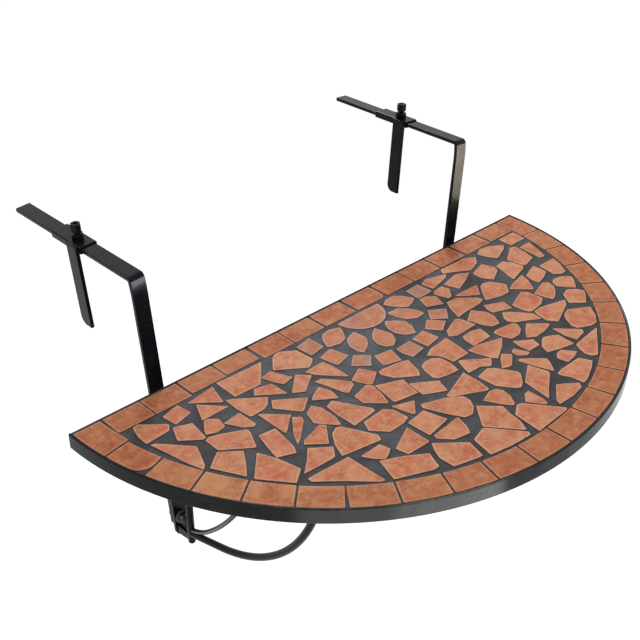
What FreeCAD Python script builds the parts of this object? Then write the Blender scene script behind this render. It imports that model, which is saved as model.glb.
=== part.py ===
import FreeCAD, Part
import math
import os

# Balcony railing bar table: a half-round tiled top with its straight edge at the railing,
# carried by two braced brackets that hook over the railing with bent flat bars.
# Millimetres, +Z up, +Y back over the railing, +X along it.
# The origin is the corner of the railing that the table hangs on: halfway between the two
# brackets, on the back faces of the posts and the lowest edges of the arms.

# Table top
top_radius = 380.0
rim_thickness = 3.0
rim_height = 19.0
tile_top_drop = 0.5
grout_drop = 1.5
tile_bed_depth = 5.5
board_bottom = 14.0

# Tile border
border_outer = 376.4
border_inner = 344.8
corner_tile_inner = 342.4
joint_width = 2.5
border_tiles = 22
border_first_joint = 180.7
border_pitch = 8.115
border_start_y = -3.6
border_end_y = -3.6
back_row_top = -3.5
back_row_growth = 0.8
rounded_tile = 1
rounded_corner = 18.0

# Brackets
bracket_spacing = 508.0
bracket_offset = -9.0
bracket_lean = 4.0
bar_width = 19.0
bar_thickness = 5.0
bend_outer = 6.0
arm_top = 152.0
arm_length = 232.0
post_bottom = -206.0
leg_bottom = -226.0
rod_offset = 9.0
upright_radius = 4.5
upright_y = -31.0
upright_bottom = -218.0
foot_rounding = 2.0
gusset_thickness = 4.0

# Curved braces, in the plane across the table; slopes are measured up from level
brace_radius = 4.5
brace_slope = 17.0
brace_root_z = -204.1
brace_arc_start_y = -90.0
brace_arc = 243.0
inner_radius = 3.0
inner_root = (-33.5, -197.0)
inner_slope = 20.0
inner_slope_middle = 43.0
inner_arcs = (100.0, 330.0)

# Bolts through the leg plates and posts
bolt_heights = (-40.0, -196.0)
bolt_radius = 4.0
bolt_hole = 4.25
hex_across_flats = 13.0
head_height = 5.3
nut_height = 6.5
cap_nut_height = 15.0
washer_radius = 9.0
washer_thickness = 1.6

# Sliding clamps
sleeve_length = 58.0
sleeve_front = 93.0
sleeve_wall = 1.5
sleeve_gap = 0.4
screw_y = 113.0
dropper_front = 94.0
dropper_width = 19.0
dropper_thickness = 4.5
dropper_bottom = 48.0
dropper_rise = 1.0
dropper_corner = 10.0
screw_clearance = 0.05
screw_tip_gap = 0.3
screw_top = 173.0
screw_head_height = 10.0
screw_head_flats = 11.0
socket_flats = 5.0
socket_depth = 3.0

arm_underside = arm_top - bar_thickness
bracket_x = {"left": bracket_offset - bracket_spacing / 2, "right": bracket_offset + bracket_spacing / 2}
rod_x = {"left": bracket_x["left"] + rod_offset, "right": bracket_x["right"] - rod_offset}

# The posts and arms lean outwards, so that each arm rests on its outer edge, which is lowest
outward_turn = {"left": -bracket_lean, "right": bracket_lean}
lean_angle = math.radians(bracket_lean)
arm_edge_height = arm_underside * math.cos(lean_angle) - bar_width / 2 * math.sin(lean_angle)
railing_corner = FreeCAD.Vector(bracket_offset, bar_thickness, arm_edge_height)

X_AXIS = FreeCAD.Vector(1, 0, 0)
Y_AXIS = FreeCAD.Vector(0, 1, 0)
Z_AXIS = FreeCAD.Vector(0, 0, 1)

# Back row of the border: left, right at the inner edge of the row, and the row's depth there
back_row = [
    (-338.5, -292.0, -35.0),
    (-288.5, -241.5, -35.0),
    (-237.0, -189.5, -32.5),
    (-185.5, -138.0, -31.0),
    (-131.5, -85.5, -35.0),
    (-82.0, -35.0, -35.0),
    (-29.5, 20.0, -35.0),
    (26.5, 75.5, -35.0),
    (80.5, 129.5, -35.0),
    (133.5, 182.5, -35.0),
    (187.5, 235.0, -35.0),
    (241.5, 290.5, -35.0),
    (295.5, 341.0, -34.5),
]

# Small turns of the arc border's joints off their even spacing, in degrees
joint_turns = [0, 0, 0.2, 0.2, 0.3, 0.1, 0.3, 0.6, 0.3, 0.2, 0.1]
joint_turns += [0.3, 0, -0.2, -0.2, -0.1, -0.2, -0.5, -0.2, -0.2, 0]
wedge_joint = 6
wedge_width = (5.0, 1.5)

# Half flower in the middle of the back edge
half_disc_centre = (18.5, -40.5)
half_disc_radius = 35.5
petals = [
    [(-62, -69.5), (-57, -56), (-48, -45), (-35, -42.5), (-20, -48), (-25, -59), (-33, -70), (-45, -74)],
    [(-15, -67), (-12.5, -86), (-22, -98), (-38, -107.5), (-42, -99), (-41.5, -86), (-34, -74), (-24, -69)],
    [
        (9, -79), (13, -90), (16, -102), (10, -114), (-1, -121), (-10, -117), (-13.5, -106), (-10, -94),
        (-1, -85),
    ],
    [
        (31, -76.5), (42, -85), (49, -94), (47, -107), (39, -121), (27, -115.5), (20, -105), (20.5, -92),
        (26, -81),
    ],
    [(46.5, -65.5), (64, -66.5), (74, -76), (80, -87), (80.5, -98), (66, -98.5), (54, -91), (48, -79)],
    [
        (58, -48), (69, -41.5), (83, -41.5), (92, -50), (99, -64), (89, -69.5), (77, -73), (67, -64),
        (61, -55),
    ],
]
ring_tiles = [
    [(-90, -44), (-65, -40), (-64.5, -65), (-88, -69)],
    [(-85, -79.5), (-62.5, -74), (-56, -99), (-79.5, -105)],
    [(-52, -102.5), (-36.5, -117), (-52, -132.5), (-69.5, -117)],
    [(-35, -121), (-10.5, -125), (-17.5, -149), (-41, -142)],
    [(-5, -129), (19.5, -127.5), (20.5, -150), (-3, -154), (-6.5, -140)],
    [(24.5, -128), (48.5, -123.5), (51.5, -147), (27, -151)],
    [(71, -110), (53.5, -123), (67, -140), (86.5, -128)],
    [(89, -96), (109, -109.5), (93.5, -126.5), (75.5, -112.5)],
    [(101, -71), (113, -71.5), (123, -80), (116, -99.5), (94.5, -89)],
    [(104, -45), (128, -43.5), (129.5, -67), (118, -68.5), (102, -68.5)],
]

# Broken tiles of the field, as laid, from left to right in three groups
crazy_left = [
    [
        (-323.5, -38), (-316.5, -36.5), (-302, -50), (-293.5, -56.5), (-291.5, -60.5), (-298, -68.5),
        (-329, -70.5), (-328.5, -55),
    ],
    [(-288.5, -44), (-264, -38), (-261, -59), (-286, -65)],
    [(-254, -43), (-214, -38), (-223, -69), (-245, -50)],
    [(-248, -51.5), (-224, -79), (-261, -79)],
    [(-206, -34.8), (-185, -36.5), (-141, -38), (-160, -60), (-171, -71.5), (-207, -69.5)],
    [(-162, -63), (-146, -59.5), (-134.5, -86.5), (-151, -89.5), (-157, -78)],
    [(-292, -67), (-271.5, -75), (-276.5, -105), (-281, -105.5), (-302, -88.5)],
    [
        (-327, -74.5), (-321, -77), (-293, -110), (-297, -120), (-306, -140), (-311, -144.5),
        (-317.5, -122), (-322, -98),
    ],
    [(-260, -80.5), (-255, -81), (-246, -89), (-249.5, -104), (-262, -106), (-273.5, -101), (-270, -94)],
    [(-247.5, -99), (-223, -96), (-222.5, -124), (-227.5, -125.5), (-236, -119.5)],
    [
        (-219.5, -68), (-213.5, -70.5), (-181, -95.5), (-189, -105), (-198, -109.5), (-218.5, -110.5),
        (-220.5, -88),
    ],
    [
        (-280, -108), (-274, -106.5), (-262, -110.5), (-236, -124), (-236, -130), (-248, -154),
        (-252, -152), (-280.5, -130),
    ],
    [(-182, -73), (-161, -79.5), (-160, -105.5), (-190, -83)],
    [(-182, -103), (-149, -127.5), (-167, -141), (-171, -142), (-191, -115.5)],
    [(-210.5, -113), (-206, -115), (-184, -138), (-190, -142), (-204, -154), (-210, -158)],
    [
        (-170, -148), (-157, -141), (-150.5, -152), (-151, -172), (-156, -188.5), (-160, -185),
        (-171.5, -171.5), (-176, -165.5),
    ],
    [(-186, -141.5), (-178, -149), (-181, -155), (-206, -176), (-214, -181), (-205, -165)],
    [
        (-234, -141), (-213, -144), (-214.5, -156), (-219, -181), (-224, -190), (-244.5, -181.5),
        (-240, -162),
    ],
    [(-283.5, -132), (-262, -149.5), (-275, -169), (-286, -183), (-305, -147)],
    [(-254, -161.5), (-244.5, -183), (-238, -212), (-256, -225), (-283, -191)],
    [(-210.5, -192.5), (-189, -209.5), (-199, -222), (-205, -222.5), (-241, -220), (-225, -207)],
    [(-209, -185.5), (-204, -180.5), (-182, -174.5), (-174, -172), (-169, -177.5), (-189, -202.5)],
    [
        (-175, -193), (-165, -188), (-159, -190), (-147, -214), (-140.5, -228), (-144, -236),
        (-193, -226.5), (-186, -209),
    ],
    [(-179.5, -240.5), (-151, -240), (-148, -253), (-156, -258), (-164, -261), (-172, -253)],
    [(-243.5, -228), (-189.5, -232), (-188, -284), (-193, -282), (-219, -256), (-244, -234)],
    [
        (-171, -258.5), (-147, -270.5), (-123.5, -286.5), (-128, -296), (-132, -307), (-140, -306.5),
        (-181, -289), (-176, -274),
    ],
]
crazy_middle = [
    [
        (-125, -40.5), (-117, -36.5), (-111, -37), (-94, -48.5), (-92, -75), (-99, -80.5), (-107, -85),
        (-142, -60.5),
    ],
    [(-129, -84.5), (-116, -98.5), (-143, -117), (-156, -108.5)],
    [(-117, -88.5), (-88, -87.5), (-85.5, -108), (-86, -130), (-89, -127), (-108, -105.5), (-113, -99)],
    [
        (-123, -111), (-113, -111.5), (-99, -128), (-91.5, -140), (-94, -145), (-109, -152.5),
        (-112.5, -148), (-119, -122),
    ],
    [(-127, -121), (-121, -136), (-124, -151), (-127, -150), (-149, -134.5), (-143, -129)],
    [(-67, -126.5), (-57, -146), (-77, -159), (-81, -157.5), (-90, -137.5)],
    [
        (-55, -147), (-48, -146), (-20, -151), (-12, -154.5), (-19, -177), (-25, -185), (-29, -183),
        (-50, -168), (-57, -153),
    ],
    [(-78, -163.5), (-45.5, -177), (-49, -190), (-52, -206), (-70, -203), (-85, -200), (-81, -180)],
    [(-47, -187.5), (-17.5, -207), (-25, -226.5), (-51, -212.5), (-49.5, -200)],
    [
        (-10.5, -174), (-1, -170), (11, -171.5), (18.5, -178), (19.5, -192), (16, -208.5), (0, -207),
        (-14, -203.5), (-18, -198), (-15, -184),
    ],
    [
        (11, -163.5), (24, -157), (42, -155.5), (57, -153.5), (55, -170), (51, -194), (24.5, -193.5),
        (23, -182), (20, -172),
    ],
    [(55, -190), (72, -190), (107, -200.5), (93, -211.5), (68, -225), (63, -219), (58, -203)],
    [(29, -196.5), (34, -198), (62, -219.5), (51, -229), (47, -228), (40, -222), (19, -220.5), (24, -207)],
    [(78, -222), (87, -231.5), (69, -245), (64, -245), (55, -241.5), (68, -229)],
    [
        (20.5, -233), (42, -229.5), (48, -234), (56, -246), (63, -259), (62, -263), (50, -275), (41, -280),
        (35, -276), (22, -258),
    ],
    [
        (15.5, -215.5), (0, -221), (-34, -232.5), (-30, -238), (-13, -246), (8, -257), (12, -256.5),
        (15, -240),
    ],
    [
        (-145.5, -154), (-134, -150), (-130, -156), (-119, -176), (-110.5, -191), (-112, -196),
        (-147, -199.5), (-147, -172),
    ],
    [(-109, -161), (-84, -155.5), (-79.5, -162), (-83, -178), (-90, -196), (-94, -194), (-111, -177)],
    [(-136, -202), (-103, -200), (-96, -209), (-94, -229), (-104, -232.5), (-127, -233), (-142.5, -216)],
    [(-93, -203), (-66.5, -213), (-83, -230), (-86, -229)],
    [
        (-67, -223), (-37, -234), (-20, -246), (-20.5, -256), (-27, -266), (-38, -274), (-49, -272),
        (-57, -258), (-70, -229),
    ],
    [(-102, -236), (-73, -232.5), (-70, -245), (-65.5, -261), (-85, -264), (-101, -266.5)],
    [(-108.5, -240.5), (-130, -250), (-144, -257), (-141, -272), (-120, -273), (-109, -273)],
    [(-110, -277), (-79, -303.5), (-86, -326.5), (-92, -326), (-121.5, -317.5), (-122, -298), (-116, -286)],
    [(-98, -269.5), (-54.5, -266.5), (-60, -284), (-66, -293.5), (-87, -289), (-99.5, -275)],
    [(-72.5, -303.5), (-50, -297.5), (-47, -300), (-19, -336), (-22, -340), (-50, -337.5), (-79, -331.5)],
    [(-24, -267), (-3, -288), (-7, -300), (-10.5, -318), (-17, -331), (-20, -330), (-48, -295.5)],
    [(-10.5, -266), (8, -260), (17, -262), (21, -270), (18.5, -282), (10, -295), (6, -294), (-1, -284)],
    [(10, -297), (17, -299), (46, -338), (44, -340.5), (0, -342), (-9.5, -343), (-7, -320), (-5.5, -307)],
    [(22, -300), (34, -290), (41, -290), (41, -310), (38, -319), (34, -318)],
    [(52, -277), (82, -258), (89, -282), (87, -286), (60, -304), (46, -314.5), (49, -294)],
    [(74, -304), (80, -308), (96, -320.5), (91, -327), (72, -330), (46.5, -329), (50, -322)],
]
crazy_right = [
    [(132, -47), (146, -41.5), (166, -48), (177, -51.5), (168, -57.5), (152, -61), (135, -65)],
    [(125, -75), (131, -70), (147, -68.5), (150, -80), (137.5, -94), (131, -95)],
    [(153, -67.5), (184, -60.5), (192, -63), (202, -70), (185, -79), (160, -88.5)],
    [(141.5, -96.5), (180, -97), (184, -98.5), (168, -116.5), (155, -108)],
    [
        (121, -100), (138, -101), (159, -119.5), (161, -127), (150, -130.5), (120, -131.5), (105, -133.5),
        (112, -115),
    ],
    [
        (162, -130.5), (184, -104), (193, -101), (203, -105), (211, -118), (213, -125), (200, -138.5),
        (186, -138),
    ],
    [(174, -47.5), (180, -39), (226, -39.5), (242, -49), (231, -60), (210, -67), (200, -61), (184, -52)],
    [(250, -45.5), (264, -38), (278, -40.5), (299, -52.5), (290, -60), (263, -71), (255, -60)],
    [(306, -38.5), (338.5, -38.5), (336, -61), (305.5, -60.5)],
    [(309, -73), (331, -72.5), (323, -95), (315, -112), (306, -109.5), (308, -90)],
    [(298, -65), (306, -68), (304, -85), (299, -103), (277, -109), (272, -107), (268, -83)],
    [(204, -75), (233, -67), (239, -84), (235, -92.5), (212, -104.5), (202.5, -90)],
    [
        (242, -84.5), (259, -81.5), (267, -92), (269.5, -109), (265, -113), (231, -122.5), (234.5, -110),
        (240, -95),
    ],
    [(207, -134.5), (225, -127.5), (249, -123), (243, -138), (231, -155.5), (228, -155), (218, -145)],
    [
        (251, -128.5), (268, -122), (279.5, -118.5), (281, -130), (279.5, -140), (266, -146), (249, -151),
        (248, -140),
    ],
    [(285.5, -124), (317, -124), (311, -140), (300, -157), (291, -157.5), (282, -150.5), (284, -138)],
    [
        (221, -164), (238, -158.5), (252, -154), (258, -159), (256, -169), (248, -178), (236, -186),
        (228, -189), (224, -178),
    ],
    [
        (258.5, -172), (262, -163.5), (270, -158.5), (284, -161.5), (291, -168), (294, -172), (286, -181),
        (274, -192), (267, -184),
    ],
    [
        (247, -191), (261, -187), (271, -195), (275, -204), (268, -211), (251, -223.5), (235, -208.5),
        (241, -199),
    ],
    [
        (177, -162), (190, -157), (212, -149.5), (218, -156), (220, -178), (207, -185.5), (185, -188),
        (180, -186), (177.5, -178),
    ],
    [
        (186, -190.5), (199, -190), (225, -197), (237, -200.5), (229, -208.5), (205, -218.5), (188, -225.5),
        (179, -214), (182.5, -196),
    ],
    [
        (219, -217), (246.5, -233), (234, -249), (221, -259.5), (211, -259.5), (193, -251.5), (191.5, -243),
        (199, -229), (207, -221),
    ],
    [
        (62, -154), (70, -144), (98, -133.5), (103, -137), (105.5, -148), (107.5, -159), (85, -159.5),
        (72, -160),
    ],
    [(74, -166), (91, -164.5), (103.5, -169), (102, -180), (99, -188.5), (68, -188.5), (70, -173)],
    [
        (107, -146), (129, -133.5), (140, -150), (140, -162), (131, -178), (119, -176), (112, -165),
        (109.5, -153),
    ],
    [(150, -137), (175.5, -149), (171.5, -166), (145, -156), (145.5, -147)],
    [
        (153, -165), (159, -167.5), (180, -192), (178, -207.5), (164, -199), (147, -190), (141.5, -182),
        (144, -174),
    ],
    [
        (108, -187), (115, -184.5), (143, -189), (145.5, -194), (139, -205), (128, -210.5), (114, -210),
        (109, -199),
    ],
    [(110, -214.5), (131.5, -229), (127.5, -241.5), (108, -241), (107, -225)],
    [(154, -201.5), (173, -219), (174, -222.5), (160, -227), (139, -228), (129, -221), (140, -211)],
    [(90.5, -228), (98, -225), (101, -232), (106, -243), (99, -245), (89.5, -237.5)],
    [
        (81, -245), (85, -243.5), (97, -252.5), (109.5, -265), (107, -271), (96, -286), (93.5, -284),
        (87, -265),
    ],
    [
        (145, -234.5), (139, -236.5), (126, -246), (121.5, -258), (141, -264), (160, -268.5), (161, -255),
        (162.5, -244), (155, -239),
    ],
    [(129, -266.5), (137, -265.5), (148.5, -281), (137, -285), (122, -287), (119, -272.5)],
    [
        (94, -292), (105, -290), (138, -290), (145, -305), (133, -312), (109, -322.5), (100, -323.5),
        (99, -309), (93, -296),
    ],
    [(168, -231), (172, -233.5), (186, -248), (194, -257), (190, -262), (170, -265.5), (167, -250)],
    [
        (160, -271.5), (182, -269), (211, -266.5), (196, -277), (178, -290), (161, -302), (154, -298),
        (151.5, -290), (155, -280),
    ],
]


def save(name, solids):
    """Writes one sub-part, moved from the table's own place into the part's frame."""
    shape = solids[0].copy() if len(solids) == 1 else Part.makeCompound(solids)
    shape.translate(railing_corner * -1)
    shape.exportStep(f"parts/{name}.step")


def box(low, high):
    size = [b - a for a, b in zip(low, high)]
    return Part.makeBox(*size, FreeCAD.Vector(*low))


def rod(start, end, radius):
    start = FreeCAD.Vector(*start)
    along = FreeCAD.Vector(*end) - start
    return Part.makeCylinder(radius, along.Length, start, along)


def outline(points, z):
    corners = [FreeCAD.Vector(x, y, z) for x, y in points]
    return Part.makePolygon(corners + corners[:1])


def slab(wire, thickness):
    return Part.Face(wire).extrude(Z_AXIS * thickness)


def polar(radius, degrees, z):
    turn = math.radians(degrees)
    return FreeCAD.Vector(radius * math.cos(turn), radius * math.sin(turn), z)


def arc(radius, first, last, z):
    middle = (first + last) / 2
    return Part.Arc(polar(radius, first, z), polar(radius, middle, z), polar(radius, last, z)).toShape()


def half_round(radius, back_y, z):
    """Closed outline of the half disc in front of the line y = back_y."""
    edge_turn = math.degrees(math.asin(-back_y / radius))
    first = 180 + edge_turn
    last = 360 - edge_turn
    front = arc(radius, first, last, z)
    back = Part.LineSegment(polar(radius, last, z), polar(radius, first, z)).toShape()
    return Part.Wire([front, back])


def hexagon(across_flats, centre, normal, height):
    """Six-sided bar standing on its centre point along the normal, two corners on the X side."""
    corner = across_flats / math.sqrt(3)
    side = X_AXIS if abs(normal.x) < 0.5 else Y_AXIS
    up = normal.cross(side)
    points = []
    for k in range(6):
        turn = math.radians(60 * k)
        points.append(centre + side * (corner * math.cos(turn)) + up * (corner * math.sin(turn)))
    return Part.Face(Part.makePolygon(points + points[:1])).extrude(normal * height)


def make_rim():
    ring = Part.makeCylinder(top_radius, rim_height, FreeCAD.Vector(0, 0, -rim_height))
    inside = Part.makeCylinder(top_radius - rim_thickness, rim_height, FreeCAD.Vector(0, 0, -rim_height))
    front = box((-top_radius, -top_radius, -rim_height), (top_radius, 0, 0))
    save("rim_arc", [ring.cut(inside).common(front)])
    back = box((-top_radius, -rim_thickness, -rim_height), (top_radius, 0, 0))
    save("rim_back", [back.common(inside)])
    for side, x in rod_x.items():
        low = (x - bar_width / 2, -top_radius, -rim_height)
        bar = box(low, (x + bar_width / 2, -rim_thickness, -board_bottom))
        save(f"{side}_stretcher", [bar.common(inside)])


def border_joint(k):
    """Angles of joint k's two sides at the outer and the inner radius, as (outer, inner) pairs."""
    middle = border_first_joint + border_pitch * k + joint_turns[k - 1]
    widths = wedge_width if k == wedge_joint else (joint_width, joint_width)
    halves = [math.degrees(w / 2 / r) for w, r in zip(widths, (border_outer, border_inner))]
    before = [middle - half for half in halves]
    after = [middle + half for half in halves]
    return before, after


def border_end(y, right_end):
    """Angles where the border's end tile stops, on the line y."""
    turns = [math.degrees(math.asin(-y / r)) for r in (border_outer, border_inner)]
    return [360 - t if right_end else 180 + t for t in turns]


def border_outline(k, z):
    first = border_end(border_start_y, False) if k == 0 else border_joint(k)[1]
    last = border_end(border_end_y, True) if k == border_tiles - 1 else border_joint(k + 1)[0]
    inner_radius = corner_tile_inner if k == 0 else border_inner
    inner_start = polar(inner_radius, first[1], z)
    inner_end = polar(inner_radius, last[1], z)
    inner = arc(inner_radius, last[1], first[1], z)
    start = Part.LineSegment(inner_start, polar(border_outer, first[0], z)).toShape()
    if k == rounded_tile:
        corner = polar(border_outer, last[0], z)
        bend_turn = last[0] - math.degrees(rounded_corner / border_outer)
        bend_start = polar(border_outer, bend_turn, z)
        bend_end = corner + (inner_end - corner).normalize() * rounded_corner
        bend_middle = corner + (bend_start + bend_end - corner * 2) * (1 - math.sqrt(0.5))
        outer = arc(border_outer, first[0], bend_turn, z)
        bend = Part.Arc(bend_start, bend_middle, bend_end).toShape()
        end = Part.LineSegment(bend_end, inner_end).toShape()
        return Part.Wire([outer, bend, end, inner, start])
    outer = arc(border_outer, first[0], last[0], z)
    end = Part.LineSegment(polar(border_outer, last[0], z), inner_end).toShape()
    return Part.Wire([outer, end, inner, start])


def half_disc_outline(z):
    x, y = half_disc_centre
    left = FreeCAD.Vector(x - half_disc_radius, y, z)
    right = FreeCAD.Vector(x + half_disc_radius, y, z)
    bottom = FreeCAD.Vector(x, y - half_disc_radius, z)
    return Part.Wire([Part.Arc(left, bottom, right).toShape(), Part.LineSegment(right, left).toShape()])


def back_row_outline(k, z):
    left, right, bottom = back_row[k]
    left -= back_row_growth
    right += back_row_growth
    corners = [(left, back_row_top), (right, back_row_top), (right, bottom), (left, bottom)]
    if k == 7:
        corners[2:3] = [(right, bottom + 6.0), (right - 5.0, bottom)]
    return outline(corners, z)


def tile_outlines(z):
    """Every tile's outline at the height z, by node name."""
    return {
        "border_arc_tiles": [border_outline(k, z) for k in range(border_tiles)],
        "border_back_tiles": [back_row_outline(k, z) for k in range(len(back_row))],
        "flower_half_disc": [half_disc_outline(z)],
        "flower_petals": [outline(points, z) for points in petals],
        "flower_ring_tiles": [outline(points, z) for points in ring_tiles],
        "crazy_tiles_left": [outline(points, z) for points in crazy_left],
        "crazy_tiles_middle": [outline(points, z) for points in crazy_middle],
        "crazy_tiles_right": [outline(points, z) for points in crazy_right],
    }


def make_top():
    """Board, tiles standing on it, and the grout plate with a hole for each tile."""
    inner = top_radius - rim_thickness
    save("board", [slab(half_round(inner, -rim_thickness, -board_bottom), board_bottom - tile_bed_depth)])
    tiles = tile_outlines(-tile_bed_depth)
    for name, wires in tiles.items():
        save(name, [slab(wire, tile_bed_depth - tile_top_drop) for wire in wires])
    holes = [wire for wires in tiles.values() for wire in wires]
    edge = half_round(inner, -rim_thickness, -tile_bed_depth)
    plate = Part.makeFace([edge] + holes, "Part::FaceMakerBullseye")
    save("grout", [plate.extrude(Z_AXIS * (tile_bed_depth - grout_drop))])


def make_hanger(x):
    """Flat bar bent square: the post behind the table and the arm back over the railing."""
    inner = bend_outer - bar_thickness
    corner = FreeCAD.Vector(x, bend_outer, arm_top - bend_outer)
    diagonal = FreeCAD.Vector(0, -1, 1) * math.sqrt(0.5)

    def point(y, z):
        return FreeCAD.Vector(x, y, z)

    edges = [
        Part.LineSegment(point(0, post_bottom), point(0, corner.z)),
        Part.Arc(point(0, corner.z), corner + diagonal * bend_outer, point(bend_outer, arm_top)),
        Part.LineSegment(point(bend_outer, arm_top), point(arm_length, arm_top)),
        Part.LineSegment(point(arm_length, arm_top), point(arm_length, arm_underside)),
        Part.LineSegment(point(arm_length, arm_underside), point(bend_outer, arm_underside)),
        Part.Arc(point(bend_outer, arm_underside), corner + diagonal * inner, point(bar_thickness, corner.z)),
        Part.LineSegment(point(bar_thickness, corner.z), point(bar_thickness, post_bottom)),
        Part.LineSegment(point(bar_thickness, post_bottom), point(0, post_bottom)),
    ]
    side = Part.Face(Part.Wire([edge.toShape() for edge in edges]))
    side.translate(X_AXIS * (-bar_width / 2))
    bar = side.extrude(X_AXIS * bar_width)
    for z in bolt_heights:
        bar = bar.cut(rod((x, -1, z), (x, bar_thickness + 1, z), bolt_hole))
    return bar


def make_leg_plate(x):
    """Flat bar in front of the post, with a round lower end."""
    half = bar_width / 2
    end_z = leg_bottom + half
    plate = box((x - half, -bar_thickness, end_z), (x + half, 0, 0))
    plate = plate.fuse(rod((x, -bar_thickness, end_z), (x, 0, end_z), half)).removeSplitter()
    for z in bolt_heights:
        plate = plate.cut(rod((x, -bar_thickness - 1, z), (x, 1, z), bolt_hole))
    return plate


def below_rim(shape):
    """The part of the shape under the table, cut off level at the rim's underside."""
    low = (-top_radius, -top_radius, leg_bottom - 1)
    return shape.common(box(low, (top_radius, bar_thickness, -rim_height)))


def on_arc(centre, radius, slope):
    """Point of a brace's arc where it climbs at the given slope, as (y, z)."""
    turn = math.radians(slope)
    return centre[0] - radius * math.sin(turn), centre[1] - radius * math.cos(turn)


def arc_centre(start, radius, slope):
    turn = math.radians(slope)
    return start[0] + radius * math.sin(turn), start[1] + radius * math.cos(turn)


def brace_bar(x, edges, start, heading, radius):
    """Round bar along the path, cut level under the table and coped to the upright."""
    profile = Part.Wire([Part.Circle(FreeCAD.Vector(x, *start), heading, radius).toShape()])
    bar = Part.Wire(edges).makePipeShell([profile], True, False)
    under = box((x - 2 * radius, -top_radius, leg_bottom), (x + 2 * radius, 0, -rim_height))
    upright = rod((x, upright_y, leg_bottom), (x, upright_y, 0), upright_radius)
    behind = box((x - 2 * radius, upright_y, leg_bottom), (x + 2 * radius, 0, 0))
    return bar.common(under).cut(upright).cut(behind)


def arc_edge(x, centre, radius, first, last):
    slopes = (first, (first + last) / 2, last)
    points = [FreeCAD.Vector(x, *on_arc(centre, radius, slope)) for slope in slopes]
    return Part.Arc(*points).toShape()


def slope_at_top(centre, radius):
    """Slope where the arc passes a little above the underside, so that its end can be cut level."""
    overrun = 2.0
    return math.degrees(math.acos((centre[1] + rim_height - overrun) / radius))


def make_brace(x):
    """Big brace: a straight run up from the foot, then one long arc to the underside."""
    turn = math.radians(brace_slope)
    root = (upright_y, brace_root_z)
    run_end = (brace_arc_start_y, brace_root_z + (upright_y - brace_arc_start_y) * math.tan(turn))
    centre = arc_centre(run_end, brace_arc, brace_slope)
    run = Part.LineSegment(FreeCAD.Vector(x, *root), FreeCAD.Vector(x, *run_end)).toShape()
    sweep = arc_edge(x, centre, brace_arc, brace_slope, slope_at_top(centre, brace_arc))
    heading = FreeCAD.Vector(0, -math.cos(turn), math.sin(turn))
    return brace_bar(x, [run, sweep], root, heading, brace_radius)


def make_inner_brace(x):
    """Thin brace above the big one: a tight arc at the foot, then a long one to the underside."""
    first = arc_centre(inner_root, inner_arcs[0], inner_slope)
    middle = on_arc(first, inner_arcs[0], inner_slope_middle)
    second = arc_centre(middle, inner_arcs[1], inner_slope_middle)
    low = arc_edge(x, first, inner_arcs[0], inner_slope, inner_slope_middle)
    high = arc_edge(x, second, inner_arcs[1], inner_slope_middle, slope_at_top(second, inner_arcs[1]))
    turn = math.radians(inner_slope)
    heading = FreeCAD.Vector(0, -math.cos(turn), math.sin(turn))
    return brace_bar(x, [low, high], inner_root, heading, inner_radius)


def make_gusset(x):
    """Small plate that joins the foot of the upright to the leg plate."""
    front = upright_y + upright_radius
    points = [(-bar_thickness, -206.5), (front, -206.5), (front, -216.5), (-bar_thickness, -219.0)]
    corners = [FreeCAD.Vector(x - gusset_thickness / 2, y, z) for y, z in points]
    plate = Part.Face(Part.makePolygon(corners + corners[:1])).extrude(X_AXIS * gusset_thickness)
    nose = box((x - gusset_thickness / 2, upright_y, -216.5), (x + gusset_thickness / 2, front, -206.5))
    upright = rod((x, upright_y, leg_bottom), (x, upright_y, 0), upright_radius)
    return plate.fuse(nose.cut(upright)).removeSplitter()


def make_upright(x):
    bar = rod((x, upright_y, upright_bottom), (x, upright_y, -rim_height), upright_radius)
    foot = [e for e in bar.Edges if e.BoundBox.ZMax < upright_bottom + 0.1 and e.BoundBox.XLength > 1]
    return bar.makeFillet(foot_rounding, foot)


def make_bolt(x, z):
    head = hexagon(hex_across_flats, FreeCAD.Vector(x, bar_thickness, z), Y_AXIS, head_height)
    shank = rod((x, bar_thickness, z), (x, -bar_thickness - washer_thickness - nut_height, z), bolt_radius)
    return head.fuse(shank).removeSplitter()


def make_washer(x, z):
    back = -bar_thickness
    disc = rod((x, back, z), (x, back - washer_thickness, z), washer_radius)
    return disc.cut(rod((x, back, z), (x, back - washer_thickness, z), bolt_hole))


def make_cap_nut(x, z):
    """Hexagon with a domed cap, bored blind from its flat side."""
    seat = -bar_thickness - washer_thickness
    hexagonal = hexagon(hex_across_flats, FreeCAD.Vector(x, seat, z), Y_AXIS * -1, nut_height)
    dome_radius = hex_across_flats / 2 - 0.4
    dome_y = seat - cap_nut_height + dome_radius
    cap = rod((x, seat - nut_height, z), (x, dome_y, z), dome_radius)
    ball = Part.makeSphere(dome_radius, FreeCAD.Vector(x, dome_y, z))
    front = box((x - 10, seat - cap_nut_height, z - 10), (x + 10, dome_y, z + 10))
    bore = rod((x, seat, z), (x, seat - nut_height - 1, z), bolt_radius + screw_clearance)
    return hexagonal.fuse(cap).fuse(ball.common(front)).cut(bore).removeSplitter()


def make_sleeve(x):
    """Open rectangular tube round the arm, drilled on top for the clamp screw."""
    half = bar_width / 2 + sleeve_gap
    wall = sleeve_wall
    low = arm_underside - sleeve_gap
    high = arm_top + sleeve_gap
    back = sleeve_front + sleeve_length
    outer = box((x - half - wall, sleeve_front, low - wall), (x + half + wall, back, high + wall))
    inner = box((x - half, sleeve_front - 1, low), (x + half, back + 1, high))
    hole = rod((x, screw_y, high - 1), (x, screw_y, high + sleeve_wall + 1), bolt_radius + screw_clearance)
    return outer.cut(inner).cut(hole)


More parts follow.
